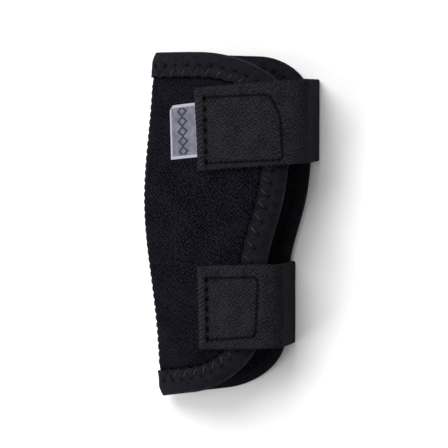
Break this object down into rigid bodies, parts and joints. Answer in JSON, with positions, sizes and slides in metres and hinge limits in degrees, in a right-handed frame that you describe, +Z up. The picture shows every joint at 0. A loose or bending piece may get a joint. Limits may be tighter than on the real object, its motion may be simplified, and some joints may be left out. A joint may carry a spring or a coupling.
{
  "type": "neoprene joint wrap",
  "caption": "Soft neoprene limb wrap with a curved front seam, bound edges and hook-and-loop straps that close it round the joint.",
  "frame": {"origin": "on the resting plane, under the middle of the wrap", "axes": "+Y along the limb towards the wider end, +X towards the opening that the straps close, +Z up from the far panel to the near panel"},
  "size_m": [0.0824, 0.1608, 0.04],
  "materials": {
    "outer_fabric": "matt brushed loop-faced fabric",
    "foam": "closed-cell foam rubber",
    "lining": "smooth knitted lining",
    "binding": "stretch binding tape, faint sheen",
    "thread": "twisted sewing thread with a sheen",
    "webbing": "woven twill webbing",
    "hook_tape": "moulded hook tape",
    "tag_satin": "woven satin label"
  },
  "bodies": {
    "sleeve": {"outer_near": "outer_fabric", "foam_near": "foam", "lining_near": "lining", "binding_near": "binding", "hem_thread_near": "thread", "outer_far": "outer_fabric", "foam_far": "foam", "lining_far": "lining", "binding_far": "binding", "hem_thread_far": "thread", "front_seam_thread": "thread", "upper_strap_base": "webbing", "upper_anchor_thread": "thread", "lower_strap_base": "webbing", "lower_anchor_thread": "thread"},
    "upper_strap": {"upper_strap_flap": "webbing", "upper_hook_patch": "hook_tape", "upper_box_thread": "thread", "upper_tip_thread": "thread", "woven_tag": "tag_satin"},
    "lower_strap": {"lower_strap_flap": "webbing", "lower_hook_patch": "hook_tape", "lower_box_thread": "thread", "lower_tip_thread": "thread"}
  },
  "joints": [
    {"name": "upper_strap_fold", "type": "hinge", "parent": "sleeve", "child": "upper_strap", "pos_m": [0.03389, 0.04593, 0.03862], "axis": [0, 1, 0], "range_deg": [0, 160]},
    {"name": "lower_strap_fold", "type": "hinge", "parent": "sleeve", "child": "lower_strap", "pos_m": [0.0211, -0.03741, 0.03966], "axis": [0, 1, 0], "range_deg": [0, 160]}
  ]
}
